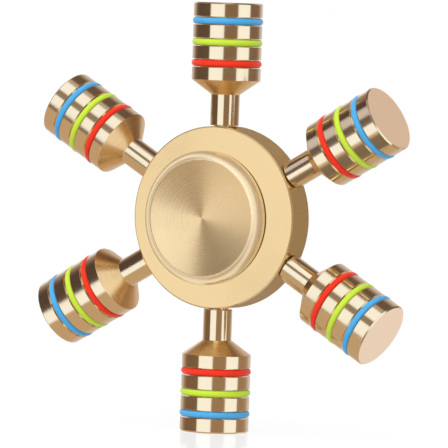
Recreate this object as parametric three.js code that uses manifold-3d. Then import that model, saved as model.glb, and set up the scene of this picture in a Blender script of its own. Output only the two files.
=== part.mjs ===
// A six-arm brass fidget spinner, standing on the end of its lowest arm.
//
// Frame: millimetres. The origin is the middle of the hub, +Y is the spin axis, the front
// finger cap faces -Y and +Z runs up along arm 1. A ring carries six turned arms that screw
// into its rim, each arm wears three rubber rings, and the ring turns on a ball bearing that
// two finger caps clamp by its inner race.

import * as THREE from 'three';
import { mergeVertices } from 'three/addons/utils/BufferGeometryUtils.js';
import Module from 'manifold-3d';

// ---------------------------------------------------------------- driving dimensions

const HUB_RADIUS = 13.26;
const HUB_HALF_WIDTH = 2.5;
const HUB_CHAMFER = 0.2;

// Bearing: 1/4 x 1/2 x 3/16 inch, ten 1/16 inch balls.
const BEARING_BORE = 6.35;
const BEARING_OUTSIDE = 12.7;
const BEARING_WIDTH = 4.762;
const BALL_COUNT = 10;
const BALL_DIAMETER = 1.588;
const PITCH_RADIUS = (BEARING_BORE + BEARING_OUTSIDE) / 4;

const ARM_COUNT = 6;
const ARM_TIP = 31.16;
const BARREL_RADIUS = 5.0;
const BARREL_START = 19.95;
const BARREL_CHAMFER = 0.2;
const STEM_RADIUS = 2.09;
const STEM_END = 17.87;
const STEM_CHAMFER = 0.1;
const SHOULDER_GAP = 0.1;
const STUD_RADIUS = 1.35;
const STUD_LENGTH = 4.2;
const TAPPED_HOLE_RADIUS = 1.65;
const TAPPED_HOLE_DEPTH = 4.8;

const O_RING_SECTION = 1.06;
const O_RING_OUTER_RADIUS = 5.1;
const GROOVE_WIDTH = 1.2;
const GROOVE_RADIUS = 4.0;
const O_RING_PLACES = { red: 22.37, green: 25.42, blue: 28.51 };

const CAP_RADIUS = 9.75;
const CAP_UNDERSIDE = 2.8;
const CAP_LOWER_FILLET = 1.6;
const CAP_UPPER_FILLET = 1.25;
const CAP_CREST = 6.15;
const DISH_FLOOR = 6.0;
const DISH_RADIUS = 8.45;
const CAP_BOSS_RADIUS = 3.9;
const CAP_POST_RADIUS = 3.1;
const CAP_POST_REACH = 1.9;
const CAP_SOCKET_RADIUS = 2.1;
const CAP_SOCKET_DEPTH = 4.3;
const CAP_STUD_RADIUS = 1.98;
const CAP_STUD_REACH = 3.6;

const RUNNING_GAP = 0.03;
const SPIN_FACETS = 36;
const ARM_FACETS = 20;
const RING_SECTION_FACETS = 6;

// ---------------------------------------------------------------- materials

const FINISHES = {
  satin_brass: { color: 0xd9b56c, roughness: 0.35, metalness: 1.0 },
  polished_brass: { color: 0xd8a95a, roughness: 0.18, metalness: 1.0 },
  bearing_steel: { color: 0xc4c6c8, roughness: 0.2, metalness: 1.0 },
  shield_steel: { color: 0xb4b6b8, roughness: 0.35, metalness: 1.0 },
  cage_steel: { color: 0x9fa2a5, roughness: 0.45, metalness: 1.0 },
  blue_rubber: { color: 0x46a0e6, roughness: 0.45, metalness: 0.0 },
  green_rubber: { color: 0xb9dc37, roughness: 0.45, metalness: 0.0 },
  red_rubber: { color: 0xe63c1b, roughness: 0.45, metalness: 0.0 },
};

function piece(name, geometry, finish) {
  const mesh = new THREE.Mesh(geometry, new THREE.MeshStandardMaterial(FINISHES[finish]));
  mesh.name = name;
  return mesh;
}

// ---------------------------------------------------------------- solids

// Shared vertices become one, and triangles that a pole or seam flattened to a line go.
function closed(geometry) {
  geometry.deleteAttribute('normal');
  geometry.deleteAttribute('uv');
  const merged = mergeVertices(geometry);
  const corners = merged.index.array;
  const kept = [];
  for (let i = 0; i < corners.length; i += 3) {
    const [a, b, c] = corners.slice(i, i + 3);
    if (a !== b && b !== c && c !== a) {
      kept.push(a, b, c);
    }
  }
  merged.setIndex(kept);
  return merged;
}

// A profile of [radius, height] points, listed so that its outer side climbs, turned about +Y.
function turned(profile, facets) {
  const points = profile.map(([radius, height]) => new THREE.Vector2(radius, height));
  return closed(new THREE.LatheGeometry(points, facets));
}

// Points on an arc of a profile, both ends included, angles in degrees from the radius axis.
function arc(radius, height, size, from, to, steps) {
  const points = [];
  for (let i = 0; i <= steps; i += 1) {
    const angle = THREE.MathUtils.degToRad(from + ((to - from) * i) / steps);
    points.push([radius + size * Math.cos(angle), height + size * Math.sin(angle)]);
  }
  return points;
}

// A bore's facets lie inside its circle; this radius puts their middles on the circle instead.
function boreRadius(radius) {
  return radius / Math.cos(Math.PI / SPIN_FACETS);
}

const wasm = await Module();
wasm.setup();

function solidOf(geometry) {
  return new wasm.Manifold(new wasm.Mesh({
    numProp: 3,
    vertProperties: new Float32Array(geometry.attributes.position.array),
    triVerts: new Uint32Array(geometry.index.array),
  }));
}

function geometryOf(solid) {
  const mesh = solid.getMesh();
  const geometry = new THREE.BufferGeometry();
  geometry.setAttribute('position', new THREE.BufferAttribute(mesh.vertProperties, 3));
  geometry.setIndex(new THREE.BufferAttribute(mesh.triVerts, 1));
  return geometry;
}

function cutFrom(geometry, cutters) {
  let solid = solidOf(geometry);
  for (const cutter of cutters) {
    solid = solid.subtract(solidOf(cutter));
  }
  return geometryOf(solid);
}

// Copies of a cutter at even angles about the spin axis.
function spreadAroundSpin(cutter, count) {
  const copies = [];
  for (let i = 0; i < count; i += 1) {
    copies.push(cutter.clone().rotateY((2 * Math.PI * i) / count));
  }
  return copies;
}

// ---------------------------------------------------------------- hub ring

// A turned ring with chamfered edges, bored for the bearing, with six tapped holes in its rim.
function hubRing() {
  const bore = BEARING_OUTSIDE / 2 + RUNNING_GAP;
  const blank = turned([
    [bore, -HUB_HALF_WIDTH],
    [HUB_RADIUS - HUB_CHAMFER, -HUB_HALF_WIDTH],
    [HUB_RADIUS, -HUB_HALF_WIDTH + HUB_CHAMFER],
    [HUB_RADIUS, HUB_HALF_WIDTH - HUB_CHAMFER],
    [HUB_RADIUS - HUB_CHAMFER, HUB_HALF_WIDTH],
    [bore, HUB_HALF_WIDTH],
    [bore, -HUB_HALF_WIDTH],
  ], SPIN_FACETS);
  const drill = closed(new THREE.CylinderGeometry(
    TAPPED_HOLE_RADIUS, TAPPED_HOLE_RADIUS, 2 * TAPPED_HOLE_DEPTH, ARM_FACETS));
  drill.rotateX(Math.PI / 2);
  drill.translate(0, 0, HUB_RADIUS);
  return cutFrom(blank, spreadAroundSpin(drill, ARM_COUNT));
}

// ---------------------------------------------------------------- arms and their rubber rings

// The two corners on each side of a square groove round the barrel.
function groove(place) {
  const low = place - GROOVE_WIDTH / 2;
  const high = place + GROOVE_WIDTH / 2;
  return [
    [BARREL_RADIUS, low],
    [GROOVE_RADIUS, low],
    [GROOVE_RADIUS, high],
    [BARREL_RADIUS, high],
  ];
}

// One turned piece: screw stud, stem, cone and a barrel with three grooves. The stud's thread
// is drawn as its plain core.
function arm() {
  const shoulder = HUB_RADIUS + SHOULDER_GAP;
  return turned([
    [0, shoulder - STUD_LENGTH],
    [STUD_RADIUS, shoulder - STUD_LENGTH],
    [STUD_RADIUS, shoulder],
    [STEM_RADIUS - STEM_CHAMFER, shoulder],
    [STEM_RADIUS, shoulder + STEM_CHAMFER],
    [STEM_RADIUS, STEM_END],
    [BARREL_RADIUS, BARREL_START],
    ...groove(O_RING_PLACES.red),
    ...groove(O_RING_PLACES.green),
    ...groove(O_RING_PLACES.blue),
    [BARREL_RADIUS, ARM_TIP - BARREL_CHAMFER],
    [BARREL_RADIUS - BARREL_CHAMFER, ARM_TIP],
    [0, ARM_TIP],
  ], ARM_FACETS);
}

// A round cord section turned into a ring.
function oRing(place) {
  const size = O_RING_SECTION / 2;
  const middle = O_RING_OUTER_RADIUS - size;
  const section = arc(middle, place, size, 0, 360, RING_SECTION_FACETS);
  section[RING_SECTION_FACETS] = [...section[0]];
  return turned(section, ARM_FACETS);
}

// ---------------------------------------------------------------- ball bearing

const RACE_HALF_WIDTH = BEARING_WIDTH / 2;
const BALL_RADIUS = BALL_DIAMETER / 2;
const TRACK_RADIUS = BALL_RADIUS + RUNNING_GAP;
const INNER_LAND = PITCH_RADIUS - 0.55;
const OUTER_LAND = PITCH_RADIUS + 0.55;
const SHIELD_SEAT = 5.75;
const SHIELD_THICKNESS = 0.25;
const SHIELD_INSIDE = 4.35;

// Both races are rings with a ball track, an arc of a circle round the ball's centre.
function outerRace() {
  const outside = BEARING_OUTSIDE / 2;
  const land = boreRadius(OUTER_LAND);
  const centre = boreRadius(PITCH_RADIUS + TRACK_RADIUS) - TRACK_RADIUS;
  const open = THREE.MathUtils.radToDeg(Math.acos((land - centre) / TRACK_RADIUS));
  const seat = boreRadius(SHIELD_SEAT);
  const shelf = RACE_HALF_WIDTH - SHIELD_THICKNESS - RUNNING_GAP;
  return turned([
    [seat, -RACE_HALF_WIDTH],
    [outside, -RACE_HALF_WIDTH],
    [outside, RACE_HALF_WIDTH],
    [seat, RACE_HALF_WIDTH],
    [seat, shelf],
    [land, shelf],
    ...arc(centre, 0, TRACK_RADIUS, open, -open, 4),
    [land, -shelf],
    [seat, -shelf],
    [seat, -RACE_HALF_WIDTH],
  ], SPIN_FACETS);
}

function innerRace() {
  const bore = BEARING_BORE / 2;
  const open = THREE.MathUtils.radToDeg(Math.acos((PITCH_RADIUS - INNER_LAND) / TRACK_RADIUS));
  return turned([
    [bore, -RACE_HALF_WIDTH],
    [INNER_LAND, -RACE_HALF_WIDTH],
    ...arc(PITCH_RADIUS, 0, TRACK_RADIUS, 180 + open, 180 - open, 4),
    [INNER_LAND, RACE_HALF_WIDTH],
    [bore, RACE_HALF_WIDTH],
    [bore, -RACE_HALF_WIDTH],
  ], SPIN_FACETS);
}

// A flat washer snapped into the outer race, clear of the inner one; side is -1 front, 1 rear.
function shield(side) {
  const inside = SHIELD_INSIDE;
  const outside = SHIELD_SEAT - RUNNING_GAP;
  const faces = [RACE_HALF_WIDTH, RACE_HALF_WIDTH - SHIELD_THICKNESS].map((face) => side * face);
  const low = Math.min(...faces);
  const high = Math.max(...faces);
  return turned([
    [inside, low],
    [outside, low],
    [outside, high],
    [inside, high],
    [inside, low],
  ], SPIN_FACETS);
}

// A crown: one ring whose front edge is scooped by a round pocket for each ball.
function cage() {
  const inside = 4.36;
  const outside = 5.18;
  const crownFront = -0.5;
  const crownBack = 1.35;
  const pocketRadius = BALL_RADIUS + 0.1;
  const ring = turned([
    [inside, crownFront],
    [outside, crownFront],
    [outside, crownBack],
    [inside, crownBack],
    [inside, crownFront],
  ], SPIN_FACETS);
  const pocket = closed(new THREE.SphereGeometry(pocketRadius, 10, 6));
  pocket.translate(0, 0, PITCH_RADIUS);
  return cutFrom(ring, spreadAroundSpin(pocket, BALL_COUNT));
}

function ball() {
  return closed(new THREE.SphereGeometry(BALL_RADIUS, 8, 6));
}

// ---------------------------------------------------------------- finger caps

// The cap's outside, from its boss on the inner race to the middle of the finger dish. Heights
// are distances from the hub's middle plane.
function capOutside() {
  const seat = RACE_HALF_WIDTH + RUNNING_GAP;
  const lower = arc(CAP_RADIUS - CAP_LOWER_FILLET, CAP_UNDERSIDE + CAP_LOWER_FILLET,
    CAP_LOWER_FILLET, -90, 0, 4);
  const upper = arc(CAP_RADIUS - CAP_UPPER_FILLET, CAP_CREST - CAP_UPPER_FILLET,
    CAP_UPPER_FILLET, 0, 90, 4);
  return [
    [CAP_BOSS_RADIUS, seat],
    [CAP_BOSS_RADIUS, CAP_UNDERSIDE],
    ...lower,
    ...upper,
    [DISH_RADIUS, DISH_FLOOR],
    [0, DISH_FLOOR],
  ];
}

// The front cap's post passes through the bearing and is bored and tapped.
function frontCap() {
  const seat = RACE_HALF_WIDTH + RUNNING_GAP;
  return turned([
    [0, CAP_SOCKET_DEPTH],
    [CAP_SOCKET_RADIUS, CAP_SOCKET_DEPTH],
    [CAP_SOCKET_RADIUS, -CAP_POST_REACH],
    [CAP_POST_RADIUS, -CAP_POST_REACH],
    [CAP_POST_RADIUS, seat],
    ...capOutside(),
  ], SPIN_FACETS);
}

// The rear cap carries the screw that closes the pair, drawn as its plain core.
function rearCap() {
  const seat = RACE_HALF_WIDTH + RUNNING_GAP;
  return turned([
    [0, -CAP_STUD_REACH],
    [CAP_STUD_RADIUS, -CAP_STUD_REACH],
    [CAP_STUD_RADIUS, seat],
    ...capOutside(),
  ], SPIN_FACETS);
}

// ---------------------------------------------------------------- assembly

const spinner = new THREE.Group();

const rotor = new THREE.Group();
rotor.add(piece('hub_ring', hubRing(), 'satin_brass'));
rotor.add(piece('bearing_outer_race', outerRace(), 'bearing_steel'));
rotor.add(piece('bearing_shield_front', shield(-1), 'shield_steel'));
rotor.add(piece('bearing_shield_rear', shield(1), 'shield_steel'));
for (let i = 0; i < ARM_COUNT; i += 1) {
  const spoke = new THREE.Group();
  spoke.rotation.y = (2 * Math.PI * i) / ARM_COUNT;
  const outward = new THREE.Group();
  outward.rotation.x = Math.PI / 2;
  outward.add(piece(`arm_${i + 1}`, arm(), 'polished_brass'));
  for (const [colour, place] of Object.entries(O_RING_PLACES)) {
    outward.add(piece(`o_ring_${colour}_${i + 1}`, oRing(place), `${colour}_rubber`));
  }
  spoke.add(outward);
  rotor.add(spoke);
}
spinner.add(rotor);

const rolling = new THREE.Group();
rolling.add(piece('bearing_cage', cage(), 'cage_steel'));
for (let i = 0; i < BALL_COUNT; i += 1) {
  const angle = (2 * Math.PI * i) / BALL_COUNT;
  const mesh = piece(`bearing_ball_${i + 1}`, ball(), 'bearing_steel');
  mesh.position.set(PITCH_RADIUS * Math.sin(angle), 0, PITCH_RADIUS * Math.cos(angle));
  rolling.add(mesh);
}
spinner.add(rolling);

const stator = new THREE.Group();
stator.add(piece('bearing_inner_race', innerRace(), 'bearing_steel'));
const front = new THREE.Group();
front.rotation.x = Math.PI;
front.add(piece('front_cap', frontCap(), 'satin_brass'));
stator.add(front);
stator.add(piece('rear_cap', rearCap(), 'satin_brass'));
spinner.add(stator);

export default spinner;
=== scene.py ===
import math

import bmesh
import bpy
import numpy as np
from mathutils import Matrix, Vector


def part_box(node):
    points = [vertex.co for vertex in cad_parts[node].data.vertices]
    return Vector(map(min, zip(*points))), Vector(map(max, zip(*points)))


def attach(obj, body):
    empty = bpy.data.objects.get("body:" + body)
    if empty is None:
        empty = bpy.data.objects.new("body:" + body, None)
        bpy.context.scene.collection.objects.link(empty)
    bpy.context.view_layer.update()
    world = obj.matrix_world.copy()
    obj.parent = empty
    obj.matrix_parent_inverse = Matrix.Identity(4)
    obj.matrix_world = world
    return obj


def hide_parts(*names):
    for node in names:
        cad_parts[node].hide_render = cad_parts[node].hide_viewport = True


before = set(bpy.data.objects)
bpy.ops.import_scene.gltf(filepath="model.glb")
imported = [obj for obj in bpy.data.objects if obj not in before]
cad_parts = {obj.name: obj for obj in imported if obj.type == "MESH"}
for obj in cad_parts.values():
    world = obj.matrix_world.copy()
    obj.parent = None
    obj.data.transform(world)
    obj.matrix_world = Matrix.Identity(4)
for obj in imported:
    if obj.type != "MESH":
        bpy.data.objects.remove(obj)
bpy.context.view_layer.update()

mm = 0.001

# ------------------------------------------------------------------ camera
# A long lens a little above the hub and to the right of the front cap, rolled a little so
# that the spinner's top leans right, and aimed just beside the hub's middle.

azimuth = math.radians(29.77)
elevation = math.radians(2.66)
roll = math.radians(1.99)
distance = 786.5 * mm
hub_right_of_aim = -0.397 * mm
hub_above_aim = 0.982 * mm

towards_camera = Vector((
    math.sin(azimuth) * math.cos(elevation),
    -math.cos(azimuth) * math.cos(elevation),
    math.sin(elevation),
))
level_right = Vector((math.cos(azimuth), math.sin(azimuth), 0))
level_up = towards_camera.cross(level_right)
right = level_right * math.cos(roll) + level_up * math.sin(roll)
up = level_up * math.cos(roll) - level_right * math.sin(roll)

camera = bpy.data.objects.new("camera", bpy.data.cameras.new("camera"))
camera.data.sensor_width = 36
camera.data.lens = 435
camera.data.clip_start = 0.05
camera.data.clip_end = 200
turn = Matrix((right, up, towards_camera)).transposed().to_4x4()
camera.matrix_world = Matrix.Translation(
    towards_camera * distance - right * hub_right_of_aim - up * hub_above_aim
) @ turn
bpy.context.scene.collection.objects.link(camera)
bpy.context.scene.camera = camera

# ------------------------------------------------------------------ studio
# A white table and room with a wide soft lamp. Round the spinner hang thin glowing tents of
# soft white screens with dark gaps between them. Each tent shows only in the gloss of the
# pieces hung in it, so that the hub, the caps and the arms are each lit to their best.

bpy.context.scene.view_settings.view_transform = "Standard"


def wire(tree, kind, *feeds, **settings):
    """A node of one kind, with its settings, whose sockets take feeds in their order.

    A feed is a number or colour, another node's output, or None to leave the socket alone.
    """
    node = tree.nodes.new("ShaderNode" + kind)
    for name, value in settings.items():
        setattr(node, name, value)
    for socket, feed in zip(node.inputs, feeds):
        if isinstance(feed, bpy.types.NodeSocket):
            tree.links.new(feed, socket)
        elif feed is not None:
            socket.default_value = feed
    return node


def mixed(tree, share, first, second):
    """The first colour turning into the second as share goes from 0 to 1."""
    node = wire(tree, "Mix", share, data_type="RGBA")
    for socket, feed in ((node.inputs[6], first), (node.inputs[7], second)):
        if isinstance(feed, bpy.types.NodeSocket):
            tree.links.new(feed, socket)
        else:
            socket.default_value = (*feed, 1)
    return node.outputs[2]


def step_at(tree, value, edge, blur, falling=False):
    """0 to 1, or 1 to 0 if falling, round an edge, over blur degrees."""
    ends = (1, 0) if falling else (0, 1)
    return wire(
        tree, "MapRange", value, edge - blur / 2, edge + blur / 2, *ends,
        interpolation_type="SMOOTHSTEP",
    ).outputs["Result"]


def tent(name, radius, ground, above, screens):
    """A thin glowing dome round the spinner, which only the pieces hung in its collection show.

    ground and above are its colours under and over the level of the spinner. Each screen is a
    soft-edged patch on what is behind it: (colour, left, right, low, high, blur of each edge),
    in degrees round from the camera's side, to the right, and up.
    """
    mesh = bpy.data.meshes.new(name)
    sphere = bmesh.new()
    bmesh.ops.create_uvsphere(sphere, u_segments=96, v_segments=48, radius=radius)
    sphere.to_mesh(mesh)
    sphere.free()
    dome = bpy.data.objects.new(name, mesh)
    dome.visible_camera = False
    dome.visible_diffuse = False
    dome.visible_shadow = False
    bpy.context.scene.collection.objects.link(dome)
    cloth = bpy.data.materials.new(name)
    cloth.use_nodes = True
    cloth.cycles.emission_sampling = "NONE"
    mesh.materials.append(cloth)
    tree = cloth.node_tree
    tree.nodes.clear()
    spot = wire(tree, "TexCoord").outputs["Object"]
    direction = wire(tree, "VectorMath", spot, operation="NORMALIZE").outputs["Vector"]
    facing = (math.sin(azimuth), -math.cos(azimuth), 0)
    to_right = wire(tree, "VectorMath", direction, level_right, operation="DOT_PRODUCT")
    to_front = wire(tree, "VectorMath", direction, facing, operation="DOT_PRODUCT")
    bearing = wire(
        tree, "Math", to_right.outputs["Value"], to_front.outputs["Value"], operation="ARCTAN2",
    )
    across = wire(tree, "Math", bearing.outputs[0], operation="DEGREES").outputs[0]
    climb = wire(tree, "SeparateXYZ", direction).outputs["Z"]
    lift = wire(tree, "Math", climb, operation="ARCSINE")
    rise = wire(tree, "Math", lift.outputs[0], operation="DEGREES").outputs[0]
    horizon = step_at(tree, rise, -3, 6)
    glow = mixed(tree, horizon, ground, above)
    for colour, left, right, low, high, blur in screens:
        share = step_at(tree, across, left, blur[0])
        for edge in (
            step_at(tree, across, right, blur[1], True),
            step_at(tree, rise, low, blur[2]),
            step_at(tree, rise, high, blur[3], True),
        ):
            share = wire(tree, "Math", share, edge, operation="MULTIPLY").outputs[0]
        glow = mixed(tree, share, glow, colour)
    clear = wire(tree, "BsdfTransparent", (1, 1, 1, 1)).outputs[0]
    light = wire(tree, "Emission", glow, 1.0).outputs[0]
    wire(tree, "OutputMaterial", wire(tree, "AddShader", clear, light).outputs[0])
    hung = bpy.data.collections.new(name)
    dome.light_linking.receiver_collection = hung
    return hung


screen_white = (1.07, 1.11, 1.29)
tan_floor = (0.57, 0.41, 0.29)
brown_room = (0.3, 0.2, 0.17)
# From back to front: the ceiling and a dark corner of it, the bright back wall on both sides,
# dark walls left and right, the gap for the camera, and the white screens.
arm_screens = [
    ((0.5, 0.42, 0.4), -200, 200, 78, 120, (1, 1, 8, 1)),
    ((0.15, 0.10, 0.08), 95, 168, 50, 84, (20, 20, 10, 6)),
    ((0.66, 0.60, 0.62), -200, -140, -20, 24, (1, 40, 20, 30)),
    ((0.66, 0.60, 0.62), 134, 200, -40, 36, (30, 1, 40, 30)),
    ((0.9, 0.9, 1.0), -200, -160, 4, 24, (1, 20, 6, 20)),
    ((0.095, 0.062, 0.056), -128, -61, -2.5, 42, (40, 2, 3, 8)),
    ((0.20, 0.12, 0.08), -128, -61, -10, -2.5, (40, 2, 4, 3)),
    ((0.20, 0.13, 0.10), 80, 125, -2.5, 60, (5, 40, 3, 12)),
    ((0.37, 0.24, 0.17), 80, 125, -20, -2.5, (5, 40, 20, 3)),
    ((0.21, 0.14, 0.10), -12, 34, -2.5, 50, (4, 4, 3, 10)),
    ((0.37, 0.24, 0.16), -12, 34, -60, -2.5, (4, 4, 3, 3)),
    (screen_white, -61, -12, -38, 29, (2, 3, 8, 5)),
    (screen_white, 34, 79, -45, 60, (4, 4, 10, 10)),
    ((0.30, 0.24, 0.18), -62, -22, 28, 41, (6, 6, 4, 4)),
    (screen_white, -60, 20, 46, 80, (10, 20, 6, 8)),
    ((0.92, 0.80, 0.88), 112, 146, -44, -16, (8, 8, 8, 8)),
]
shiny_pieces = tent("shiny_tent", 4.0, tan_floor, brown_room, arm_screens)
upper_right_arm = tent("upper_right_tent", 4.2, tan_floor, brown_room, arm_screens + [
    ((0.68, 0.62, 0.73), -94, -67, 6, 30, (8, 5, 8, 8)),
    ((0.15, 0.11, 0.10), -65, -51, -12, 12, (4, 3, 4, 6)),
    ((0.21, 0.16, 0.13), -38, 100, -92, -46, (3, 40, 1, 4)),
    ((0.75, 0.60, 0.60), 108, 140, 14, 42, (8, 8, 8, 8)),
])
hub_pieces = tent("hub_tent", 3.9, ground=(0.6, 0.55, 0.52), above=(0.6, 0.55, 0.52), screens=[
    ((0.36, 0.28, 0.2), 20, 200, -50, 50, (20, 1, 20, 20)),
    ((1.01, 1.0, 0.99), -112, 14, -60, 60, (30, 12, 30, 30)),
    ((0.16, 0.12, 0.09), -168, -126, -60, 60, (12, 12, 20, 20)),
    ((0.72, 0.70, 0.68), -104, -66, 5, 50, (10, 6, 6, 10)),
    ((0.72, 0.70, 0.68), -52, -14, -56, -11, (6, 10, 10, 6)),
])
cap_pieces = tent("cap_tent", 4.1, ground=(0.9, 0.88, 0.9), above=(0.9, 0.88, 0.9), screens=[
    ((0.42, 0.34, 0.28), 20, 200, -70, 70, (30, 1, 20, 20)),
    ((0.34, 0.26, 0.19), -200, 200, 52, 120, (1, 1, 24, 1)),
    ((0.34, 0.26, 0.19), -200, -120, -40, 90, (1, 24, 20, 1)),
    ((0.68, 0.55, 0.43), -84, -61, -30, 1, (10, 3, 12, 3)),
    ((0.04, 0.03, 0.015), -80, -58.8, -0.7, 25, (8, 2, 3, 8)),
    ((1.28, 1.37, 1.56), -58.4, -34, -7.5, 24, (3, 12, 3, 12)),
    ((0.4, 0.275, 0.18), -62.5, -22, -48, -7.5, (3, 12, 12, 3)),
])
plain_pieces = tent("plain_tent", 60.0, ground=(1.0, 1.0, 1.0), above=(1.0, 1.0, 1.0), screens=[])

world = bpy.data.worlds.new("studio")
bpy.context.scene.world = world
world.use_nodes = True
room = world.node_tree
room.nodes.clear()
path = wire(room, "LightPath")
wall_light = mixed(room, path.outputs["Is Camera Ray"], (0.7, 0.7, 0.7), (1, 1, 1))
room_light = mixed(room, path.outputs["Is Glossy Ray"], wall_light, (0, 0, 0))
wire(room, "OutputWorld", wire(room, "Background", room_light, 1.0).outputs[0])

lamp = bpy.data.objects.new("lamp", bpy.data.lights.new("lamp", "SUN"))
lamp.data.energy = 3.0
lamp.data.angle = math.radians(100)
lamp.rotation_euler = (math.radians(40), 0, math.radians(5))
lamp.visible_glossy = False
bpy.context.scene.collection.objects.link(lamp)

table_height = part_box("arm_4")[0].z
table_reach = 50.0
table_corners = [
    (x * table_reach, y * table_reach, table_height)
    for x, y in ((-1, -1), (1, -1), (1, 1), (-1, 1))
]
table_mesh = bpy.data.meshes.new("table")
table_mesh.from_pydata(table_corners, [], [(0, 1, 2, 3)])
table = bpy.data.objects.new("table", table_mesh)
table.visible_glossy = False
bpy.context.scene.collection.objects.link(table)
# A lit white sheet under thin gloss, which mirrors only at a very flat angle.
table_white = bpy.data.materials.new("table_white")
table_white.use_nodes = True
tree = table_white.node_tree
tree.nodes.clear()
paint = wire(
    tree, "MixShader", 0.85,
    wire(tree, "BsdfDiffuse", (0.8, 0.8, 0.8, 1)).outputs[0],
    wire(tree, "Emission", (1, 1, 1, 1), 1.01).outputs[0],
).outputs[0]
polish = wire(tree, "BsdfAnisotropic", (1, 1, 1, 1), 0.08).outputs[0]
grazing = wire(tree, "LayerWeight", 0.5).outputs["Facing"]
steep = wire(tree, "Math", grazing, 4, operation="POWER").outputs[0]
mirror = wire(tree, "Math", steep, 0.26, operation="MULTIPLY").outputs[0]
wire(tree, "OutputMaterial", wire(tree, "MixShader", mirror, paint, polish).outputs[0])
table_white.cycles.emission_sampling = "NONE"
table_mesh.materials.append(table_white)
plain_pieces.objects.link(table)

# ------------------------------------------------------------------ ball bearing
# A ground steel bearing, 1/4 x 1/2 x 3/16 inch: two races with a ball track between them, ten
# balls in a crown cage and two thin shields. It is pressed into the hub ring.


def softened(corners, support=0.01 * mm):
    """Profile points from (radius, height, bend) corners.

    A corner with a bend becomes an arc of that radius touching both of its edges, between
    two points set just outside the arc, which keep the smooth shading off the straight parts.
    """
    points = []
    last = len(corners) - 1
    for index, (radius, height, bend) in enumerate(corners):
        corner = np.array((radius, height))
        if bend == 0 or index in (0, last):
            points.append(corner[None])
            continue
        back = np.array(corners[index - 1][:2]) - corner
        ahead = np.array(corners[index + 1][:2]) - corner
        back /= np.linalg.norm(back)
        ahead /= np.linalg.norm(ahead)
        half = math.acos(np.clip(back @ ahead, -1, 1)) / 2
        sweep = math.pi - 2 * half
        reach = bend / math.tan(half)
        middle = corner + (back + ahead) / np.linalg.norm(back + ahead) * bend / math.sin(half)
        start = corner + back * reach - middle
        end = corner + ahead * reach - middle
        share = np.linspace(0, 1, max(4, int(math.degrees(sweep) / 9) + 1))[:, None]
        blend = np.sin((1 - share) * sweep) * start + np.sin(share * sweep) * end
        arc = middle + blend / math.sin(sweep)
        before = corner + back * (reach + support)
        after = corner + ahead * (reach + support)
        points.append(np.vstack((before, arc, after)))
    return np.vstack(points)


def mesh_object(name, points, faces, across):
    """An object from an (n, 3) array of points, (m, 4) faces and (m, 4, 2) face-corner UVs.

    Points that coincide, as at poles and seams, are merged, and the faces turned outwards.
    """
    mesh = bpy.data.meshes.new(name)
    mesh.vertices.add(len(points))
    mesh.vertices.foreach_set("co", points.astype(np.float32).ravel())
    mesh.loops.add(faces.size)
    mesh.loops.foreach_set("vertex_index", faces.astype(np.int32).ravel())
    mesh.polygons.add(len(faces))
    mesh.polygons.foreach_set("loop_start", np.arange(len(faces), dtype=np.int32) * 4)
    mesh.uv_layers.new(name="turning").uv.foreach_set("vector", across.astype(np.float32).ravel())
    mesh.update(calc_edges=True)
    work = bmesh.new()
    work.from_mesh(mesh)
    bmesh.ops.remove_doubles(work, verts=work.verts, dist=0.0005 * mm)
    bmesh.ops.recalc_face_normals(work, faces=work.faces)
    work.to_mesh(mesh)
    work.free()
    mesh.polygons.foreach_set("use_smooth", np.ones(len(mesh.polygons), bool))
    mesh.set_sharp_from_angle(angle=math.radians(35))
    made = bpy.data.objects.new(name, mesh)
    bpy.context.scene.collection.objects.link(made)
    return made


def turned(name, profile, axis=(0, 1, 0), middle=(0, 0, 0), facets=192, shaping=None):
    """A solid of revolution: each (radius, height) profile point is carried round the axis.

    Its place is middle + radius * (cos t, sin t) across the axis + height along it, for t from
    0 to a full turn. shaping may change the radii, given radius, height and t as arrays.
    """
    axis = np.array(axis, float)
    side = np.cross((0, 1, 0), axis) if abs(axis[1]) < 0.9 else np.array((1.0, 0, 0))
    other = np.cross(axis, side)
    angle = np.linspace(0, 2 * np.pi, facets + 1)[None, :]
    radius = np.repeat(profile[:, :1], facets + 1, 1)
    height = np.repeat(profile[:, 1:], facets + 1, 1)
    if shaping:
        radius = shaping(radius, height, angle)
    points = (
        np.array(middle)
        + (radius * np.cos(angle))[..., None] * side
        + (radius * np.sin(angle))[..., None] * other
        + height[..., None] * axis
    )
    rows, columns = radius.shape
    grid = np.arange(rows * columns).reshape(rows, columns)
    faces = corners_of(grid).reshape(-1, 4)
    along = np.r_[0, np.cumsum(np.linalg.norm(np.diff(profile, axis=0), axis=1))] / (10 * mm)
    v, u = np.meshgrid(np.linspace(0, 1, columns), along)
    flat = np.stack((u, v), -1).reshape(-1, 2)
    return mesh_object(name, points.reshape(-1, 3), faces, flat[faces])


def corners_of(grid):
    """The four corner numbers of every cell of a grid of point numbers."""
    return np.stack((grid[:-1, :-1], grid[:-1, 1:], grid[1:, 1:], grid[1:, :-1]), -1)


def place(piece, body, slot, *nodes):
    """The piece moves with a body, takes the finish of its slot and stands for its CAD nodes.

    It also hangs in a tent: the upper right arm in its own, the others by their finish.
    """
    piece.data.materials.append(finishes[slot])
    if piece.name == "arm_2_turned":
        hung = upper_right_arm
    elif slot == "satin_brass":
        hung = hub_pieces if body == "rotor" else cap_pieces
    else:
        hung = plain_pieces if "rubber" in slot else shiny_pieces
    hung.objects.link(piece)
    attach(piece, body)
    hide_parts(*nodes)


def ring_profile(inside, outside, low, high, bend):
    """A closed rectangular section with equally rounded edges."""
    return softened([
        (inside, (low + high) / 2, 0),
        (inside, low, bend),
        (outside, low, bend),
        (outside, high, bend),
        (inside, high, bend),
        (inside, (low + high) / 2, 0),
    ])


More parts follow.
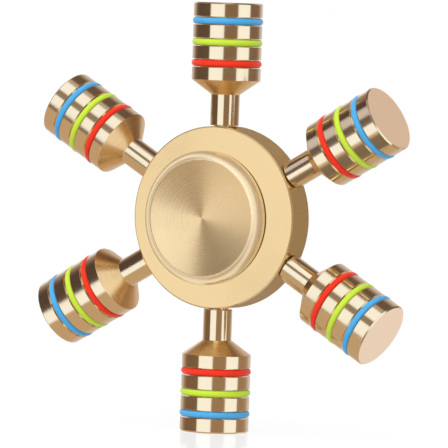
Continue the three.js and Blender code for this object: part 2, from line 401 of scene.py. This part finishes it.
def turned_metal(name, colour, roughness, spread, marks, stains):
    """Bare turned metal: fine marks run round the piece, so its gloss is drawn out across them.

    marks is the depth of the cutting marks, stains how far handling dulls it in patches.
    """
    metal = bpy.data.materials.new(name)
    metal.use_nodes = True
    tree = metal.node_tree
    shader = tree.nodes["Principled BSDF"]
    shader.inputs["Metallic"].default_value = 1
    shader.inputs["Anisotropic"].default_value = spread
    along = wire(tree, "SeparateXYZ", wire(tree, "UVMap", uv_map="turning").outputs[0]).outputs["X"]
    fine = wire(tree, "TexNoise", None, along, 240, 3, 0.6, noise_dimensions="1D").outputs[0]
    broad = wire(tree, "TexNoise", None, along, 45, 2, 0.5, noise_dimensions="1D").outputs[0]
    cut = wire(tree, "Math", fine, broad, operation="ADD").outputs[0]
    place_on = wire(tree, "TexCoord").outputs["Object"]
    patches = wire(tree, "TexNoise", place_on, None, 260, 4, 0.6).outputs[0]
    smoothest, roughest = roughness * (1 - stains), roughness * (1 + stains)
    ground = wire(tree, "MapRange", patches, 0.3, 0.7, smoothest, roughest)
    lines = wire(tree, "MapRange", broad, 0.35, 0.65, -0.1 * roughness, 0.1 * roughness)
    rough = wire(tree, "Math", ground.outputs[0], lines.outputs[0], operation="ADD").outputs[0]
    tree.links.new(rough, shader.inputs["Roughness"])
    warm = [part * (1 - 0.12 * stains) for part in colour]
    tone = wire(tree, "MapRange", cut, 0.7, 1.3, 0, 1).outputs[0]
    tree.links.new(mixed(tree, tone, warm, colour), shader.inputs["Base Color"])
    relief = wire(tree, "Bump", 1.0, marks, None, cut)
    tree.links.new(relief.outputs[0], shader.inputs["Normal"])
    tree.links.new(
        wire(tree, "Tangent", direction_type="UV_MAP", uv_map="turning").outputs[0],
        shader.inputs["Tangent"],
    )
    return metal


finishes = {
    name: turned_metal(name, colour, roughness, spread, 0.0004 * mm, stains)
    for name, colour, roughness, spread, stains in (
        ("bearing_steel", (0.62, 0.61, 0.59), 0.22, 0.4, 0.15),
        ("shield_steel", (0.5, 0.49, 0.48), 0.34, 0.2, 0.25),
        ("cage_steel", (0.42, 0.41, 0.39), 0.42, 0, 0.3),
    )
}

bearing_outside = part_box("bearing_outer_race")[1].x
bearing_half_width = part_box("bearing_outer_race")[1].y
bore_radius = 3.175 * mm
pitch_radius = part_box("bearing_ball_1")[0].z / 2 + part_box("bearing_ball_1")[1].z / 2
ball_radius = 0.794 * mm
ball_count = 10
land = 0.55 * mm
shield_seat = 5.75 * mm
shield_thickness = 0.25 * mm
shield_bore = 4.35 * mm
track = ball_radius + 0.03 * mm
reach = math.sqrt(track**2 - land**2)


def track_arc(centre_side):
    """The ball track's section, an arc round the ball's centre.

    It lies on the outer race if centre_side is 1, and on the inner race if it is -1.
    """
    end = math.atan2(reach, land)
    swing = np.linspace(end, -end, 17)
    from_centre = centre_side * track * np.stack((np.cos(swing), np.sin(swing)), 1)
    return from_centre + (pitch_radius, 0)


shelf = bearing_half_width - shield_thickness - 0.03 * mm
outer_profile = np.vstack((
    softened([
        (shield_seat, -shelf, 0),
        (shield_seat, -bearing_half_width, 0.05 * mm),
        (bearing_outside, -bearing_half_width, 0.2 * mm),
        (bearing_outside, bearing_half_width, 0.2 * mm),
        (shield_seat, bearing_half_width, 0.05 * mm),
        (shield_seat, shelf, 0),
        (pitch_radius + land, shelf, 0),
    ]),
    track_arc(1),
    ((pitch_radius + land, -shelf), (shield_seat, -shelf)),
))
outer_race = turned("bearing_outer_ring", outer_profile)
place(outer_race, "rotor", "bearing_steel", "bearing_outer_race")

inner_profile = np.vstack((
    softened([
        (bore_radius, 0, 0),
        (bore_radius, -bearing_half_width, 0.2 * mm),
        (pitch_radius - land, -bearing_half_width, 0.1 * mm),
        (pitch_radius - land, -reach, 0),
    ]),
    track_arc(-1),
    softened([
        (pitch_radius - land, reach, 0),
        (pitch_radius - land, bearing_half_width, 0.1 * mm),
        (bore_radius, bearing_half_width, 0.2 * mm),
        (bore_radius, 0, 0),
    ]),
))
inner_race = turned("bearing_inner_ring", inner_profile)
place(inner_race, "stator", "bearing_steel", "bearing_inner_race")

half_turn = np.linspace(-np.pi / 2, np.pi / 2, 25)
ball_profile = ball_radius * np.stack((np.cos(half_turn), np.sin(half_turn)), 1)
ball_profile[[0, -1], 0] = 0
for number in range(1, ball_count + 1):
    low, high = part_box(f"bearing_ball_{number}")
    ball = turned(f"steel_ball_{number}", ball_profile, middle=(low + high) / 2, facets=48)
    place(ball, f"ball_{number}", "bearing_steel", f"bearing_ball_{number}")

for node in ("bearing_shield_front", "bearing_shield_rear"):
    low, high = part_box(node)
    washer_profile = ring_profile(shield_bore, high.x, low.y, high.y, 0.05 * mm)
    washer = turned(f"{node}_washer", washer_profile)
    place(washer, "rotor", "shield_steel", node)

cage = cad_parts["bearing_cage"]
shiny_pieces.objects.link(cage)
for index in range(len(cage.material_slots)):
    cage.material_slots[index].material = finishes["cage_steel"]

# ------------------------------------------------------------------ hub ring
# A ring turned from brass plate, bored for the bearing, its edges broken with a small
# chamfer. Six tapped holes in the rim take the arms.

satin_colour = (0.90, 0.69, 0.38)
finishes["satin_brass"] = turned_metal("satin_brass", satin_colour, 0.25, 0.75, 0.0012 * mm, 0.18)

hub_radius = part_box("hub_ring")[1].x
hub_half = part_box("hub_ring")[1].y
hub_chamfer = 0.2 * mm
hub_bore = bearing_outside + 0.03 * mm
hole_radius = 1.65 * mm
hole_depth = 4.8 * mm
sector_columns = 48
wall_rows = 16


def rim_sector(sector):
    """One sixth of the rim with its tapped hole.

    The wall is unrolled flat: straight lines run from the hole's edge to the sector's
    border, and each point is then rolled back to the hub's radius. The hole's wall
    goes on inwards from its edge to a coned bottom.
    """
    wall = hub_half - hub_chamfer
    reach = hub_radius * np.pi / 6
    run = np.linspace(-reach, reach, sector_columns + 1)
    rise = np.linspace(-wall, wall, wall_rows + 1)
    border = np.vstack((
        np.stack((run[:-1], np.full(sector_columns, -wall)), 1),
        np.stack((np.full(wall_rows, reach), rise[:-1]), 1),
        np.stack((run[:0:-1], np.full(sector_columns, wall)), 1),
        np.stack((np.full(wall_rows, -reach), rise[:0:-1]), 1),
    ))
    border = np.vstack((border, border[:1]))
    around = np.arctan2(border[:, 1], border[:, 0])
    across = hole_radius * np.cos(around)
    edge = np.stack((hub_radius * np.arcsin(across / hub_radius), hole_radius * np.sin(around)), 1)
    share = np.linspace(0, 1, 13)[:, None, None] ** 1.5
    wall_points = edge + (border - edge) * share
    angle = wall_points[..., 0] / hub_radius
    on_wall = np.stack((
        hub_radius * np.sin(angle),
        wall_points[..., 1],
        hub_radius * np.cos(angle),
    ), -1)
    deep = hub_radius - hole_depth
    mouth = np.sqrt(hub_radius**2 - across**2)
    sink = np.array((1, 0.97, 0.5, 0.03, 0))[:, None]
    in_hole = np.stack((
        np.broadcast_to(across, (5, len(across))),
        np.broadcast_to(edge[:, 1], (5, len(across))),
        deep + (mouth - deep) * sink,
    ), -1)
    tip = np.array((0, 0, deep - 0.6 * hole_radius))
    bottom = tip + (in_hole[-1:] - tip) * np.array((0.5, 0))[:, None, None]
    rows = np.vstack((bottom[::-1], in_hole[::-1], on_wall[1:]))
    flat = np.vstack((np.zeros((6, len(across), 2)), wall_points[..., ::-1])) / (10 * mm)
    turn = sector * np.pi / 3
    x = rows[..., 0] * np.cos(turn) + rows[..., 2] * np.sin(turn)
    z = rows[..., 2] * np.cos(turn) - rows[..., 0] * np.sin(turn)
    return np.stack((x, rows[..., 1], z), -1), flat


rim_points, rim_flat = zip(*(rim_sector(sector) for sector in range(6)))
rim_count = rim_points[0][..., 0].size
rim_grid = np.arange(rim_count).reshape(rim_points[0].shape[:2])
rim_faces = np.vstack([
    corners_of(rim_grid + rim_count * sector).reshape(-1, 4) for sector in range(6)
])
body_profile = softened([
    (hub_radius, -hub_half + hub_chamfer, 0),
    (hub_radius - hub_chamfer, -hub_half, 0.05 * mm),
    (hub_bore, -hub_half, 0.1 * mm),
    (hub_bore, hub_half, 0.1 * mm),
    (hub_radius - hub_chamfer, hub_half, 0.05 * mm),
    (hub_radius, hub_half - hub_chamfer, 0),
])
angle = np.linspace(0, 2 * np.pi, 6 * sector_columns + 1) + np.pi / 6
body_points = np.stack((
    body_profile[:, :1] * np.sin(angle),
    np.repeat(body_profile[:, 1:], len(angle), 1),
    body_profile[:, :1] * np.cos(angle),
), -1)
body_grid = np.arange(body_points[..., 0].size).reshape(body_points.shape[:2]) + 6 * rim_count
body_along = np.r_[0, np.cumsum(np.linalg.norm(np.diff(body_profile, axis=0), axis=1))] / (10 * mm)
body_flat = np.stack(np.meshgrid(np.linspace(0, 1, len(angle)), body_along)[::-1], -1)
hub_points = np.vstack([part.reshape(-1, 3) for part in rim_points] + [body_points.reshape(-1, 3)])
hub_flat = np.vstack([part.reshape(-1, 2) for part in rim_flat] + [body_flat.reshape(-1, 2)])
hub_faces = np.vstack((rim_faces, corners_of(body_grid).reshape(-1, 4)))
hub = mesh_object("hub_ring_turned", hub_points, hub_faces, hub_flat[hub_faces])
place(hub, "rotor", "satin_brass", "hub_ring")

# ------------------------------------------------------------------ finger caps
# Two turned brass caps with a shallow dish for finger and thumb. The front one's post is
# bored and tapped, the rear one's screw closes the pair on the bearing's inner race.

cap_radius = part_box("front_cap")[1].x
cap_crest = -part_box("front_cap")[0].y
cap_underside = 2.8 * mm
cap_seat = bearing_half_width + 0.03 * mm
dish_floor = 6.0 * mm
dish_radius = 8.44 * mm
dish_sag = 0.35 * mm
dish_wall = 0.03 * mm
collar_radius = 3.9 * mm
post_radius = 3.1 * mm
post_end = -1.9 * mm
post_bore = 2.1 * mm
bore_end = 4.3 * mm
screw_end = -3.6 * mm
screw_radius = 1.98 * mm
thread_start = screw_end + 0.3 * mm
thread_end = 2.3 * mm
thread_rows = 110


def screw_thread(radius, height, angle, low, high, pitch, depth):
    """Radii with a V thread cut in between two heights.

    The crests climb one pitch a turn, and the thread fades out over a pitch at each end.
    """
    phase = (height / pitch - angle / (2 * np.pi)) % 1
    fade = np.clip(np.minimum(height - low, high - height) / pitch, 0, 1)
    return radius - depth * np.abs(2 * phase - 1) * fade


dish_span = dish_radius - dish_wall
dish_rows = [
    (share * dish_span, dish_floor - dish_sag * (1 - share**1.7), 0)
    for share in np.linspace(0.97, 0, 40)
]
cap_face = [
    (collar_radius, cap_seat, 0.05 * mm),
    (collar_radius, cap_underside, 0.1 * mm),
    (cap_radius, cap_underside, 1.6 * mm),
    (cap_radius, cap_crest, 1.25 * mm),
    (dish_radius, cap_crest, 0.03 * mm),
    (dish_span, dish_floor, 0.05 * mm),
    *dish_rows,
]
front_profile = softened([
    (0, 4.0 * mm, 0),
    (post_bore, bore_end, 0.05 * mm),
    (post_bore, post_end, 0.15 * mm),
    (post_radius, post_end, 0.15 * mm),
    (post_radius, cap_seat, 0.05 * mm),
    *cap_face,
])
front_cap = turned("front_finger_cap", front_profile, axis=(0, -1, 0), facets=288)
place(front_cap, "stator", "satin_brass", "front_cap")

screw_rows = np.linspace(thread_start, thread_end, thread_rows)
rear_profile = np.vstack((
    ((0, screw_end), (1.7 * mm, screw_end)),
    np.stack((np.full(thread_rows, screw_radius), screw_rows), 1),
    softened([
        (screw_radius, thread_end, 0),
        (screw_radius, cap_seat, 0.03 * mm),
        *cap_face,
    ])[1:],
))
rear_cap = turned(
    "rear_finger_cap", rear_profile, facets=288,
    shaping=lambda radius, height, angle: np.where(
        height < thread_end,
        screw_thread(radius, height, angle, thread_start, thread_end, 0.7 * mm, 0.4 * mm),
        radius,
    ),
)
place(rear_cap, "stator", "satin_brass", "rear_cap")

# The dish is cut with a fine tool that leaves a strong grain. The cap's underside is painted near
# black, a painted shade for the shadow in the gap between the cap and the hub, and the rim is a
# paler, slightly rougher brass that is not wholly metal. A cap's own mirror image is kept off its
# neighbours.
dish_brass = turned_metal("dish_brass", satin_colour, 0.25, 0.9, 0.001 * mm, 0.08)
# Painted shade: near-black brass for the cap's underside, standing for the shadow in the gap over
# the hub.
underside_painted_shade = turned_metal("underside_painted_shade", (0.04, 0.024, 0.01), 0.4, 0.3, 0.002 * mm, 0.2)
# The rim's brass is paler, a little rougher and not wholly metal.
paler_rim_brass = turned_metal("paler_rim_brass", (0.92, 0.75, 0.47), 0.28, 0.4, 0.0008 * mm, 0.1)
paler_rim_brass.node_tree.nodes["Principled BSDF"].inputs["Metallic"].default_value = 0.82
for cap, front in ((front_cap, -1), (rear_cap, 1)):
    cap.visible_glossy = False
    for finish in (dish_brass, underside_painted_shade, paler_rim_brass):
        cap.data.materials.append(finish)
    for face in cap.data.polygons:
        spot = face.center
        from_axis = math.hypot(spot.x, spot.z)
        past_collar = from_axis > collar_radius + 0.1 * mm
        if spot.y * front > 5 * mm and from_axis < dish_span:
            face.material_index = 1
        # Faces under the rim that look back at the hub take the near-black painted shade.
        elif face.normal.y * front < 0 and past_collar:
            face.material_index = 2
        elif past_collar:
            face.material_index = 3

# ------------------------------------------------------------------ arms
# Each arm is one piece turned from 10 mm brass bar: screw stud, stem, cone and a barrel with
# three grooves and a broken end edge. It screws into the rim until its shoulder meets it.

polished_colour = (0.90, 0.77, 0.50)
finishes["polished_brass"] = turned_metal(
    "polished_brass", polished_colour, 0.13, 0.5, 0.0005 * mm, 0.1,
)
# The cones are left rougher, as they come from the tool, and their deeper orange is a painted
# reflection of the brass round them.
cone_brass_painted_reflection = turned_metal("cone_brass_painted_reflection", (0.91, 0.65, 0.31), 0.25, 0.5, 0.001 * mm, 0.1)

arm_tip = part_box("arm_1")[1].z
arm_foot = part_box("arm_1")[0].z
barrel_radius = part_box("arm_1")[1].x
shoulder = hub_radius + 0.1 * mm
stem_radius = 2.09 * mm
stem_end = 17.87 * mm
barrel_start = 19.95 * mm
stud_radius = 1.5 * mm
end_chamfer = 0.2 * mm
groove_floor = 4.0 * mm
groove_half = 0.6 * mm
edge_break = 0.04 * mm
ring_places = {
    colour: (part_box(f"o_ring_{colour}_1")[0].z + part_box(f"o_ring_{colour}_1")[1].z) / 2
    for colour in ("red", "green", "blue")
}


def groove_corners(middle):
    """A square groove round the barrel: down one side, along the floor and up the other."""
    return [
        (barrel_radius, middle - groove_half, edge_break),
        (groove_floor, middle - groove_half, 0.08 * mm),
        (groove_floor, middle + groove_half, 0.08 * mm),
        (barrel_radius, middle + groove_half, edge_break),
    ]


stud_start = arm_foot + 0.3 * mm
stud_top = shoulder - 0.3 * mm
stud_rows = np.linspace(stud_start, stud_top, 100)
arm_profile = np.vstack((
    ((0, arm_foot), (1.25 * mm, arm_foot)),
    np.stack((np.full(len(stud_rows), stud_radius), stud_rows), 1),
    softened([
        (stud_radius, stud_top, 0),
        (stud_radius, shoulder, 0.02 * mm),
        (stem_radius - 0.1 * mm, shoulder, 0.02 * mm),
        (stem_radius, shoulder + 0.1 * mm, 0.02 * mm),
        (stem_radius, stem_end, 0.1 * mm),
        (barrel_radius, barrel_start, 0.05 * mm),
        *groove_corners(ring_places["red"]),
        *groove_corners(ring_places["green"]),
        *groove_corners(ring_places["blue"]),
        (barrel_radius, arm_tip - end_chamfer, 0.05 * mm),
        (barrel_radius - end_chamfer, arm_tip, 0.05 * mm),
        (0, arm_tip, 0),
    ])[1:],
))

for number in range(1, 7):
    swing = math.radians(60 * (number - 1))
    outward = (math.sin(swing), 0, math.cos(swing))
    arm = turned(
        f"arm_{number}_turned", arm_profile, axis=outward, facets=128,
        shaping=lambda radius, height, angle: np.where(
            height < stud_top,
            screw_thread(radius, height, angle, stud_start, stud_top, 0.5 * mm, 0.3 * mm),
            radius,
        ),
    )
    place(arm, "rotor", "polished_brass", f"arm_{number}")
    # The cone faces take the rougher brass whose deeper orange is a painted reflection of the brass
    # round them.
    arm.data.materials.append(cone_brass_painted_reflection)
    for face in arm.data.polygons:
        if stem_end < face.center.dot(Vector(outward)) < barrel_start:
            face.material_index = 1

# ------------------------------------------------------------------ rubber rings
# Moulded rubber O-rings of 1 mm section, one of each colour, stretched into each arm's
# grooves so that they stand just proud of the barrel.


def moulded_rubber(name, colour, sheen_colour):
    """Smooth rubber with the faint mottling and dusty bloom that it gets from handling."""
    rubber = bpy.data.materials.new(name)
    rubber.use_nodes = True
    tree = rubber.node_tree
    shader = tree.nodes["Principled BSDF"]
    shader.inputs["Specular IOR Level"].default_value = 0.2
    place_on = wire(tree, "TexCoord").outputs["Object"]
    mottle = wire(tree, "TexNoise", place_on, None, 900, 4, 0.6).outputs[0]
    share = wire(tree, "MapRange", mottle, 0.3, 0.7, 0, 0.35).outputs[0]
    tree.links.new(mixed(tree, share, colour, sheen_colour), shader.inputs["Base Color"])
    rough = wire(tree, "MapRange", mottle, 0.3, 0.7, 0.3, 0.45).outputs[0]
    tree.links.new(rough, shader.inputs["Roughness"])
    relief = wire(tree, "Bump", 1.0, 0.002 * mm, None, mottle)
    tree.links.new(relief.outputs[0], shader.inputs["Normal"])
    return rubber


finishes["blue_rubber"] = moulded_rubber("blue_rubber", (0.05, 0.29, 0.56), (0.08, 0.34, 0.62))
finishes["green_rubber"] = moulded_rubber("green_rubber", (0.41, 0.57, 0.03), (0.47, 0.62, 0.05))
finishes["red_rubber"] = moulded_rubber("red_rubber", (0.66, 0.02, 0.004), (0.7, 0.03, 0.006))

section_radius = 0.53 * mm
ring_outside = 5.1 * mm
ring_middle = ring_outside - section_radius
loop = np.linspace(0, 2 * np.pi, 33)
for colour, along_arm in ring_places.items():
    profile = np.stack((
        ring_middle + section_radius * np.cos(loop),
        along_arm + section_radius * np.sin(loop),
    ), 1)
    for number in range(1, 7):
        swing = math.radians(60 * (number - 1))
        outward = (math.sin(swing), 0, math.cos(swing))
        ring = turned(f"rubber_ring_{colour}_{number}", profile, axis=outward, facets=128)
        ring.visible_glossy = False
        place(ring, "rotor", f"{colour}_rubber", f"o_ring_{colour}_{number}")
